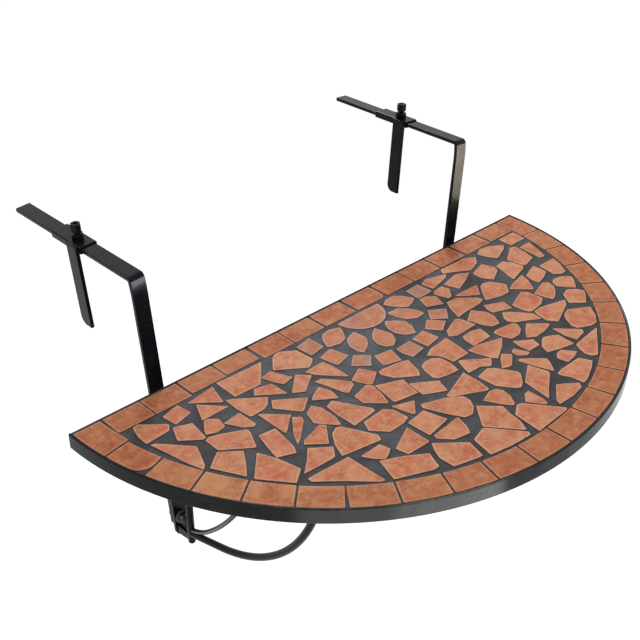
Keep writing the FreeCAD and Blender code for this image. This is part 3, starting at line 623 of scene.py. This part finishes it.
def mosaic():
    """Every tile as a skin of its own, and the grout bed round them."""
    kinds = {
        "border_arc_tiles": ("border_arc_ceramics", "border_tile"),
        "border_back_tiles": ("border_back_ceramics", "border_tile"),
        "crazy_tiles_left": ("crazy_ceramics_left", "field_tile"),
        "crazy_tiles_middle": ("crazy_ceramics_middle", "field_tile"),
        "crazy_tiles_right": ("crazy_ceramics_right", "field_tile"),
        "flower_half_disc": ("flower_half_disc_ceramic", "flower_tile"),
        "flower_petals": ("flower_petal_ceramics", "flower_tile"),
        "flower_ring_tiles": ("flower_ring_ceramics", "flower_tile"),
    }
    loops = []
    for number, (node, (name, finish)) in enumerate(kinds.items()):
        outlines = tile_outlines(node)
        tones = tile_tones(node, 40 + number, outlines)
        skins = [tile_skin(outline, 1000 * number + k, tone)
                 for k, (outline, tone) in enumerate(zip(outlines, tones))]
        # The third mark is painted shade down each tile's side
        tiles = piece(name, skins, [node], finish, marks=("tone", "edge", "side_shade"))
        # The posts stay black down to the top: no red tiles are mirrored in them
        tiles.visible_glossy = False
        loops += [dense_loop(outline, 0.7, 0) for outline in outlines]
    grout(loops)


def grout(loops):
    """Grout bed: its top is a height over the half disc, hollowed a little between tiles
    and sandy; a skirt and a fan close it below. Mark: distance from the nearest tile."""
    columns, rows, farthest = 428, 212, 9.0
    x = np.linspace(0.1 - inside_radius, inside_radius - 0.1, columns)
    depth = np.maximum(np.sqrt(inside_radius ** 2 - x ** 2) - rim_thickness, 0.4)
    y = -rim_thickness - np.linspace(0, 1, rows)[:, None] * depth
    places = np.dstack([np.broadcast_to(x, y.shape), y]).reshape(-1, 2)
    away = np.full(len(places), farthest)
    for loop in loops:
        low, high = loop.min(axis=0) - farthest, loop.max(axis=0) + farthest
        close = np.flatnonzero(np.all((places > low) & (places < high), axis=1))
        gaps = np.hypot(*(places[close, None] - loop).transpose(2, 0, 1)).min(axis=1)
        away[close] = np.minimum(away[close], gaps)
    hollow = 0.35 * (1 - np.exp(-away / 1.6))
    sandy = 0.10 * waves(51, places, (2.6, 6.0)) + 0.12 * waves(52, places, (9, 30))
    top = np.column_stack([places, sandy - hollow + grout_top, away])
    index = np.arange(rows * columns).reshape(rows, columns)
    quads = grid_quads(index)
    border = np.concatenate([index[0, :-1], index[:-1, -1], index[-1, :0:-1], index[:0:-1, 0]])
    skirt = top[border]
    skirt[:, 2] = bed_bottom
    below = len(top) + np.arange(len(border))
    after = np.roll(np.arange(len(border)), -1)
    sides = np.stack([border[after], border, below, below[after]], axis=-1)
    pole = np.full(len(border), len(top) + len(border))
    fans = np.stack([pole, below[after], below], axis=-1)
    points = np.concatenate([top, skirt, skirt.mean(axis=0, keepdims=True)])
    skin = points, np.concatenate([quads, sides]), fans
    piece("grout_bed", [skin], ["grout"], "slate_grout", marks=("away",))


def grid_quads(index):
    """Quads between the neighbours of a grid of point numbers."""
    quads = [index[:-1, :-1], index[:-1, 1:], index[1:, 1:], index[1:, :-1]]
    return np.stack(quads, axis=-1).reshape(-1, 4)


# Finishes

def paint(colour):
    """Linear colour of a display colour from 0 to 255."""
    levels = np.array(colour) / 255
    linear = np.where(levels <= 0.04045, levels / 12.92, ((levels + 0.055) / 1.055) ** 2.4)
    return (*linear.tolist(), 1.0)


class Nodes:
    """Adds nodes to a tree: settings by keyword, and a value or a link for each input."""

    def __init__(self, tree):
        self.tree = tree

    def add(self, kind, inputs=None, **settings):
        made = self.tree.nodes.new("ShaderNode" + kind)
        for name, value in settings.items():
            setattr(made, name, value)
        for name, value in (inputs or {}).items():
            self.feed(made.inputs[name], value)
        return made

    def feed(self, socket, value):
        if isinstance(value, bpy.types.NodeSocket):
            self.tree.links.new(value, socket)
        else:
            socket.default_value = value

    def mark(self, name):
        """A point mark of the piece."""
        return self.add("Attribute", attribute_name=name).outputs["Fac"]

    def ramp(self, value, low, high, first=0.0, last=1.0):
        """Smooth step from first to last while the value goes from low to high."""
        ends = {"From Min": low, "From Max": high, "To Min": first, "To Max": last}
        made = self.add("MapRange", {"Value": value, **ends}, interpolation_type="SMOOTHSTEP")
        return made.outputs["Result"]

    def sums(self, operation, a, b):
        made = self.add("Math", operation=operation)
        self.feed(made.inputs[0], a)
        self.feed(made.inputs[1], b)
        return made.outputs[0]

    def plus(self, a, b):
        return self.sums("ADD", a, b)

    def minus(self, a, b):
        return self.sums("SUBTRACT", a, b)

    def times(self, a, b):
        return self.sums("MULTIPLY", a, b)

    def blend(self, share, a, b):
        """Colour that goes from a to b as the share goes from 0 to 1."""
        made = self.add("Mix", data_type="RGBA")
        for socket, value in zip((made.inputs[0], made.inputs[6], made.inputs[7]), (share, a, b)):
            self.feed(socket, value)
        return made.outputs[2]

    def noise(self, place, scale, detail=3.0, roughness=0.55):
        inputs = {"Vector": place, "Scale": scale, "Detail": detail, "Roughness": roughness}
        return self.add("TexNoise", inputs).outputs["Fac"]


def make_groups():
    """Shared effects: clouds of tone, clustered flecks, and a fine uneven skin."""
    made = {}

    def start(name, numbers, output):
        """New group with a place and those numbers as inputs, and one output."""
        tree = bpy.data.node_groups.new(name, "ShaderNodeTree")
        socket = tree.interface.new_socket
        socket("Place", in_out="INPUT", socket_type="NodeSocketVector")
        for label, value in numbers.items():
            socket(label, in_out="INPUT", socket_type="NodeSocketFloat").default_value = value
        socket(output, in_out="OUTPUT", socket_type="NodeSocketFloat")
        made[name] = tree
        given = tree.nodes.new("NodeGroupInput").outputs
        return Nodes(tree), given, tree.nodes.new("NodeGroupOutput").inputs[output]

    nodes, given, out = start("tone_clouds", {"Scale": 120.0, "Low": 0.4, "High": 0.6}, "Mask")
    mask = nodes.noise(given["Place"], given["Scale"], 4.0, 0.6)
    nodes.feed(out, nodes.ramp(mask, given["Low"], given["High"]))

    # Fleck where the dots and the flocks together pass a limit that rises with the amount
    numbers = {"Scale": 420.0, "Cluster": 70.0, "Amount": 0.5}
    nodes, given, out = start("clustered_flecks", numbers, "Mask")
    dots = nodes.noise(given["Place"], given["Scale"], 2.0, 0.5)
    flocks = nodes.noise(given["Place"], given["Cluster"], 3.0, 0.6)
    reach = nodes.plus(dots, nodes.times(flocks, given["Amount"]))
    limit = nodes.plus(nodes.times(given["Amount"], 0.5), 0.6)
    nodes.feed(out, nodes.ramp(nodes.minus(reach, limit), 0.0, 0.08))

    nodes, given, out = start("uneven_skin", {"Scale": 700.0, "Fine": 0.35}, "Height")
    broad = nodes.noise(given["Place"], given["Scale"], 2.0, 0.5)
    grain = nodes.noise(given["Place"], nodes.times(given["Scale"], 4.0), 2.0, 0.6)
    nodes.feed(out, nodes.plus(broad, nodes.times(grain, given["Fine"])))
    return made


def material(name, specular):
    """New material, its nodes, its shader's inputs and its object coordinates."""
    made = bpy.data.materials.new(name)
    made.use_nodes = True
    nodes = Nodes(made.node_tree)
    shader = made.node_tree.nodes["Principled BSDF"].inputs
    nodes.feed(shader["Specular IOR Level"], specular)
    return made, nodes, shader, nodes.add("TexCoord").outputs["Object"]


def effect(nodes, name, place, **inputs):
    """Output of a shared effect at that place, with its values."""
    made = nodes.add("Group")
    made.node_tree = groups[name]
    for label, value in {"Place": place, **inputs}.items():
        nodes.feed(made.inputs[label], value)
    return made.outputs[0]


def raise_skin(nodes, shader, height, distance, strength):
    """Bump of that height on the shader's normal."""
    bump = nodes.add("Bump", {"Height": height, "Distance": distance, "Strength": strength})
    nodes.feed(shader["Normal"], bump.outputs["Normal"])


def powder_coat(name, dark, light, satin, rough):
    """Black coating: faint mottling, an orange-peel skin and a scatter of dull dust. Pieces
    marked satin have one black of their own and a flatter skin."""
    made, nodes, shader, place = material(name, 0.1)
    marked = nodes.mark("satin")
    clouds = effect(nodes, "tone_clouds", place, Scale=60.0, Low=0.3, High=0.7)
    dust = effect(nodes, "clustered_flecks", place, Scale=900.0, Cluster=40.0, Amount=0.8)
    colour = nodes.blend(clouds, paint(dark), paint(light))
    colour = nodes.blend(marked, colour, paint(satin))
    colour = nodes.blend(nodes.times(dust, 0.2), colour, paint((64, 63, 62)))
    nodes.feed(shader["Base Color"], colour)
    rougher = nodes.plus(nodes.times(clouds, 0.06), nodes.times(marked, -0.04))
    nodes.feed(shader["Roughness"], nodes.plus(rougher, rough))
    peel = effect(nodes, "uneven_skin", place, Scale=620.0, Fine=0.4)
    flatter = nodes.minus(1.0, nodes.times(marked, 0.6))
    raise_skin(nodes, shader, nodes.times(peel, flatter), 0.00015, 0.3)
    return made


def tile_finish(name, plain, other, warm, pale, edge, fleck, wear, seed):
    """Matt fired clay: each tile between two colours, with soft clouds of a warmer and a
    paler tone, dark flecks and blots, a paler worn edge, and painted shade down its side."""
    made, nodes, shader, place = material(name, 0.15)
    mapping = {"Vector": place, "Location": (seed, 0.37 * seed, 0)}
    shift = nodes.add("Mapping", mapping).outputs[0]
    clouds = effect(nodes, "tone_clouds", shift, Scale=95.0, Low=0.40, High=0.72)
    wide = effect(nodes, "tone_clouds", shift, Scale=38.0, Low=0.38, High=0.68)
    blots = effect(nodes, "tone_clouds", shift, Scale=70.0, Low=0.62, High=0.74)
    flecks = effect(nodes, "clustered_flecks", shift, Scale=300.0, Cluster=45.0, Amount=1.0)
    spots = nodes.sums("MAXIMUM", flecks, blots)
    colour = nodes.blend(nodes.mark("tone"), paint(plain), paint(other))
    colour = nodes.blend(nodes.times(wide, 0.8), colour, paint(warm))
    colour = nodes.blend(nodes.times(clouds, 0.65), colour, paint(pale))
    colour = nodes.blend(nodes.times(spots, 0.36), colour, paint(fleck))
    broken = nodes.times(nodes.minus(nodes.noise(shift, 400.0), 0.5), 1.2)
    worn = nodes.ramp(nodes.plus(nodes.mark("edge"), broken), 0.5, 1.05)
    colour = nodes.blend(nodes.times(worn, wear), colour, paint(edge))
    # Painted shade: the tile's side goes towards a dark grout brown
    side_shaded = nodes.times(nodes.mark("side_shade"), 0.9)
    nodes.feed(shader["Base Color"], nodes.blend(side_shaded, colour, paint((52, 33, 27))))
    nodes.feed(shader["Roughness"], nodes.minus(0.7, nodes.times(clouds, 0.1)))
    skin = effect(nodes, "uneven_skin", shift, Scale=260.0, Fine=0.3)
    raise_skin(nodes, shader, nodes.minus(skin, nodes.times(flecks, 0.35)), 0.0004, 0.4)
    return made


def grout_finish():
    """Sanded grout: slate grey in the wide joints, browner and darker close to a tile: partly
    browner grout, partly painted shade along the tile's edge.
    """
    made, nodes, shader, place = material("slate_grout", 0.14)
    broken = nodes.times(nodes.minus(nodes.noise(place, 260.0, 4.0), 0.5), 2.0)
    far = nodes.ramp(nodes.plus(nodes.mark("away"), broken), 0.7, 2.4)
    clouds = effect(nodes, "tone_clouds", place, Scale=26.0, Low=0.35, High=0.65)
    sand = effect(nodes, "clustered_flecks", place, Scale=1300.0, Cluster=200.0, Amount=0.3)
    slate = nodes.blend(clouds, paint((34, 30, 29)), paint((49, 47, 49)))
    slate = nodes.blend(nodes.times(sand, 0.25), slate, paint((72, 70, 71)))
    # Close to a tile the grout goes dark brown: painted shade along the tile's edge, with some real
    # browning
    nodes.feed(shader["Base Color"], nodes.blend(far, paint((27, 20, 18)), slate))
    nodes.feed(shader["Roughness"], nodes.minus(0.46, nodes.times(clouds, 0.12)))
    skin = effect(nodes, "uneven_skin", place, Scale=900.0, Fine=0.5)
    raise_skin(nodes, shader, skin, 0.0005, 0.5)
    return made


def board_finish():
    """Cement board: pale grey with darker blooms and a fine grit."""
    made, nodes, shader, place = material("cement_board", 0.3)
    clouds = effect(nodes, "tone_clouds", place, Scale=14.0, Low=0.3, High=0.7)
    grit = effect(nodes, "clustered_flecks", place, Scale=900.0, Cluster=30.0, Amount=0.5)
    colour = nodes.blend(clouds, paint((150, 146, 138)), paint((172, 168, 160)))
    colour = nodes.blend(nodes.times(grit, 0.5), colour, paint((104, 100, 94)))
    nodes.feed(shader["Base Color"], colour)
    nodes.feed(shader["Roughness"], nodes.minus(0.9, nodes.times(clouds, 0.1)))
    skin = effect(nodes, "uneven_skin", place, Scale=420.0, Fine=0.6)
    raise_skin(nodes, shader, skin, 0.0006, 0.6)
    return made


# Room

def floor():
    """Plain pale floor: a flat grid, well below the table."""
    reach, low, count = 14.0, -1.6, 9
    across = np.linspace(-reach, reach, count)
    grid = np.dstack([*np.meshgrid(across, across), np.full((count, count), low)])
    quads = grid_quads(np.arange(count * count).reshape(count, count))
    mesh = bpy.data.meshes.new("floor")
    mesh.from_pydata(grid.reshape(-1, 3).tolist(), [], quads.tolist())
    made, nodes, shader, place = material("pale_floor", 0.1)
    soft = nodes.blend(nodes.noise(place, 2.0, 2.0), paint((247,) * 3), paint((249,) * 3))
    nodes.feed(shader["Base Color"], soft)
    nodes.feed(shader["Roughness"], 0.9)
    nodes.feed(shader["Emission Color"], (1.0, 1.0, 1.0, 1.0))
    nodes.feed(shader["Emission Strength"], 0.26)
    mesh.materials.append(made)
    ground = bpy.data.objects.new("floor", mesh)
    bpy.context.scene.collection.objects.link(ground)


def world():
    """Even daylight; seen directly or in a reflection it is white."""
    daylight, white = 0.44, 1.0
    made = bpy.data.worlds.new("white_room")
    bpy.context.scene.world = made
    made.use_nodes = True
    nodes = Nodes(made.node_tree)
    rays = nodes.add("LightPath").outputs
    seen = rays["Is Camera Ray"]
    for name in ("Is Glossy Ray", "Is Transmission Ray"):
        seen = nodes.sums("MAXIMUM", seen, rays[name])
    background = made.node_tree.nodes["Background"].inputs
    nodes.feed(background["Color"], (1.0, 1.0, 1.0, 1.0))
    nodes.feed(background["Strength"], nodes.ramp(seen, 0.0, 1.0, daylight, white))


def direction(azimuth, elevation):
    """Unit vector towards an azimuth (0 to the front, 90 to the right) and a height."""
    turn, rise = math.radians(azimuth), math.radians(elevation)
    level = math.cos(rise)
    return Vector((math.sin(turn) * level, -math.cos(turn) * level, math.sin(rise)))


def lamp(name, kind, energy, source):
    """Lamp whose light comes from the direction of its source."""
    made = bpy.data.objects.new(name, bpy.data.lights.new(name, kind))
    made.data.energy = energy
    made.rotation_euler = source.to_track_quat("Z", "Y").to_euler()
    bpy.context.scene.collection.objects.link(made)
    return made


def sun(name, azimuth, elevation, strength, width):
    """Far lamp whose disc is as many degrees wide as its width."""
    lamp(name, "SUN", strength, direction(azimuth, elevation)).data.angle = math.radians(width)


def softbox(name, place, aim, size, watts, tint=(1, 1, 1), only=()):
    """Rectangular lamp at a place, facing an aim. It lights only the pieces named, or
    everything where none are."""
    made = lamp(name, "AREA", watts, Vector(place) - Vector(aim))
    made.location = place
    made.data.shape = "RECTANGLE"
    made.data.size, made.data.size_y = size
    made.data.color = tint
    if only:
        lit = bpy.data.collections.new(name + "_pieces")
        for lit_piece in only:
            lit.objects.link(bpy.data.objects[lit_piece])
        made.light_linking.receiver_collection = lit


def studio():
    """Two suns and a bluish sheen light everything. The other soft lamps each make one
    reflection of the photograph: the rim's two brighter stretches and its lip, the nuts,
    the inner braces, the warm patch on the right post and the cool one on the left bend."""
    rims = ("rim_round_bar", "rim_back_bar")
    cap_nuts, washers, rods, hangers = (
        tuple(f"{side}_{name}" for side in bracket_x)
        for name in ("cap_nuts", "flat_washers", "inner_brace_rod", "hanger_bar")
    )
    sun("key", -40, 58, 1.06, 50)
    sun("fill", 150, 50, 0.28, 60)
    softbox("sheen_box", (1.35, 1.45, 1.25), (-0.15, -0.15, -0.15), (0.5, 0.4), 24,
            (0.78, 0.86, 1.0))
    softbox("low_box", (-0.055, -1.40, -1.08), (-0.14, -0.35, -0.17), (0.89, 0.4), 8.6,
            only=rims)
    softbox("low_side_box", (-0.78, -1.11, -1.08), (-0.16, -0.36, -0.17), (0.8, 0.5), 5.2,
            only=rims)
    softbox("lip_box", (-0.05, -1.33, 0.71), (-0.14, -0.35, -0.15), (0.9, 0.8), 60,
            only=rims)
    softbox("nut_box", (-0.62, -0.95, -0.30), (-0.24, -0.02, -0.34), (0.35, 0.3), 32,
            only=cap_nuts + washers)
    softbox("rod_box", (-0.70, 0.57, -1.12), (-0.25, -0.12, -0.25), (0.3, 0.9), 2.4,
            only=rods)
    softbox("post_box", (1.461, -1.265, -0.565), (0.341, -0.106, 0.356), (0.5, 0.6), 18,
            (1, 0.89, 0.64), hangers)
    softbox("bend_box", (0.68, -1.68, -0.5), (-0.27, 0, 0.0), (0.5, 0.6), 36,
            (0.85, 0.88, 1.0), hangers)


def camera():
    """Camera at the photograph's angle, a little rolled, aimed at a place on the top."""
    azimuth, elevation, roll = -43.8226, 32.1658, math.radians(0.1944)
    distance, aim = 1.33645, np.array([-27.284, -19.756, 0])
    back = direction(azimuth, elevation)
    target = Vector((aim - railing_corner) * 0.001)
    right = (-back).cross(Vector((0, 0, 1))).normalized()
    up = right.cross(-back)
    across = right * math.cos(roll) + up * math.sin(roll)
    upward = up * math.cos(roll) - right * math.sin(roll)
    lens = bpy.data.cameras.new("camera")
    lens.lens, lens.sensor_width = 60.213, 36.0
    lens.clip_start, lens.clip_end = 0.05, 60
    made = bpy.data.objects.new("camera", lens)
    turned_to = Matrix((across, upward, back)).transposed().to_4x4()
    made.matrix_world = Matrix.Translation(target + back * distance) @ turned_to
    bpy.context.scene.collection.objects.link(made)
    bpy.context.scene.camera = made


bpy.context.scene.view_settings.view_transform = "Standard"
groups = make_groups()
finishes = {
    "frame_steel": powder_coat(
        "powder_coated_steel", dark=(10, 12, 15), light=(16, 18, 22), satin=(14, 14, 16),
        rough=0.16),
    "black_fastener": powder_coat(
        "black_fasteners", dark=(9, 9, 10), light=(16, 16, 17), satin=(34, 34, 37), rough=0.28),
    "slate_grout": grout_finish(),
    "cement_board": board_finish(),
    "border_tile": tile_finish(
        "border_clay", plain=(170, 101, 67), other=(198, 140, 94), warm=(162, 83, 54),
        pale=(196, 137, 96), edge=(208, 158, 124), fleck=(134, 56, 32), wear=0.4, seed=3.1),
    "field_tile": tile_finish(
        "field_clay", plain=(194, 119, 83), other=(199, 139, 103), warm=(184, 97, 67),
        pale=(211, 151, 114), edge=(218, 174, 144), fleck=(146, 62, 38), wear=0.6, seed=7.7),
    "flower_tile": tile_finish(
        "flower_clay", plain=(194, 124, 84), other=(166, 124, 108), warm=(182, 112, 76),
        pale=(200, 142, 106), edge=(204, 172, 164), fleck=(142, 68, 46), wear=0.7, seed=5.3),
}

rim()
mosaic()
for side in bracket_x:
    for make in (stretcher, hanger, leg_plate, upright, braces, gusset, post_fasteners,
                 sleeve, dropper, weld_nut, clamp_screw):
        make(side)

# The cement board keeps the shape of its solid
board = frame["nodes"]["board"]
board.data.materials.clear()
board.data.materials.append(finishes["cement_board"])

floor()
world()
studio()
camera()
